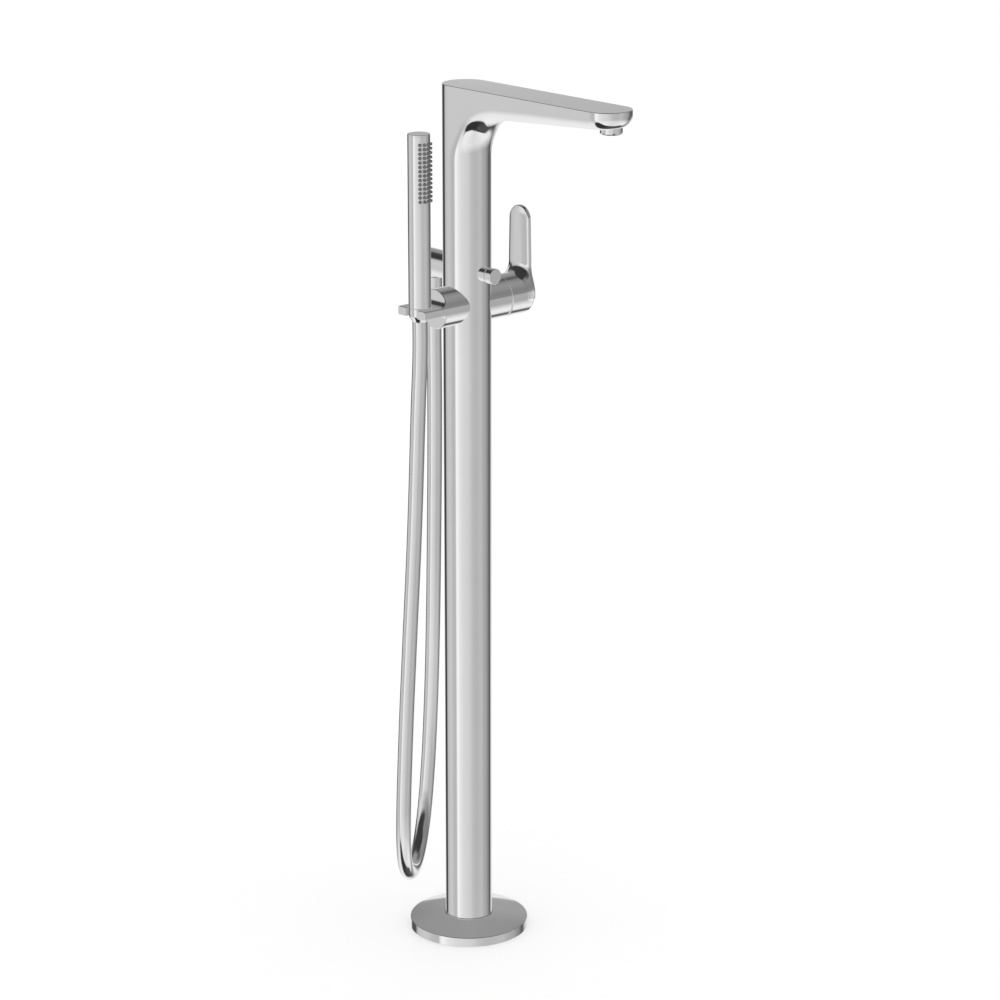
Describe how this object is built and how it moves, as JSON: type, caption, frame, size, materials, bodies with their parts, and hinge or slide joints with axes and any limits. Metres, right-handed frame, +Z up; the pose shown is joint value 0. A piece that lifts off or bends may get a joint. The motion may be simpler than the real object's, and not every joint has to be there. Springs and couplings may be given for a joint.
{
  "type": "floor standing bath filler",
  "caption": "Floor standing bath filler: round column on a disc foot, flat spout, side lever mixer, pull diverter, and a slim hand shower on a chrome hose in a side holder.",
  "frame": {"origin": "centre of the column at floor level, on the underside of the floor plate", "axes": "+Z up along the column, -Y along the spout, +X along the mixer and its lever, -X towards the hand shower holder"},
  "size_m": [0.1878, 0.3134, 0.9214],
  "materials": {
    "chrome": "polished",
    "hose_chrome": "smooth chrome sleeve",
    "brass": "machined",
    "copper": "drawn tube",
    "steel": "brushed",
    "black_rubber": "matte",
    "grey_rubber": "soft matte",
    "white_plastic": "moulded",
    "grey_plastic": "moulded"
  },
  "bodies": {
    "stand": {"base_plate": "steel", "foot_flange": "brass", "foot_screws": "steel", "cover_flange": "chrome", "foot_ring": "white_plastic", "column_tube": "chrome", "spout_body": "chrome", "neck_plug": "brass", "riser_tube": "copper", "aerator_ring": "chrome", "aerator_insert": "grey_plastic", "aerator_washer": "black_rubber", "valve_body": "brass", "mixer_sleeve": "chrome", "cartridge_housing": "brass", "cartridge_seal": "black_rubber", "cartridge_body": "white_plastic", "cartridge_nut": "brass", "diverter_bush": "brass", "diverter_collar": "chrome", "outlet_elbow": "chrome", "check_valve": "white_plastic", "elbow_washer": "black_rubber", "elbow_hose_nut": "chrome", "shower_hose": "hose_chrome", "holder_stud": "brass", "holder_arm": "chrome", "holder_grub_screw": "steel", "supply_tail_hot": "copper", "supply_tail_cold": "copper", "tail_nut_hot": "brass", "tail_nut_cold": "brass"},
    "turret": {"cartridge_turret": "white_plastic", "spindle_pin": "steel"},
    "lever": {"lever_spindle": "steel", "lever_handle": "chrome", "lever_grub_screw": "steel"},
    "diverter": {"diverter_stem": "steel", "diverter_piston": "brass", "diverter_rings": "black_rubber", "diverter_knob": "chrome"},
    "hose_end": {"cone_nut": "chrome", "cone_washer": "black_rubber"},
    "hand_shower": {"hand_tube": "chrome", "hand_cap": "chrome", "hand_inlet": "brass", "hand_core": "white_plastic", "nozzle_strip": "grey_rubber"}
  },
  "joints": [
    {"name": "temperature_turn", "type": "hinge", "parent": "stand", "child": "turret", "pos_m": [0.0285, 0, 0.694], "axis": [1, 0, 0], "range_deg": [-45, 45]},
    {"name": "flow_lean", "type": "hinge", "parent": "turret", "child": "lever", "pos_m": [0.0285, 0, 0.694], "axis": [0, 1, 0], "range_deg": [0, 10]},
    {"name": "diverter_pull", "type": "slide", "parent": "stand", "child": "diverter", "axis": [0, -1, 0], "range_m": [0, 0.008]},
    {"name": "hand_lift", "type": "slide", "parent": "stand", "child": "hose_end", "axis": [0, 0, 1], "range_m": [0, 0.06]},
    {"name": "hand_turn", "type": "hinge", "parent": "hose_end", "child": "hand_shower", "pos_m": [-0.0645, 0, 0.7], "axis": [0, 0, 1], "continuous": true}
  ]
}
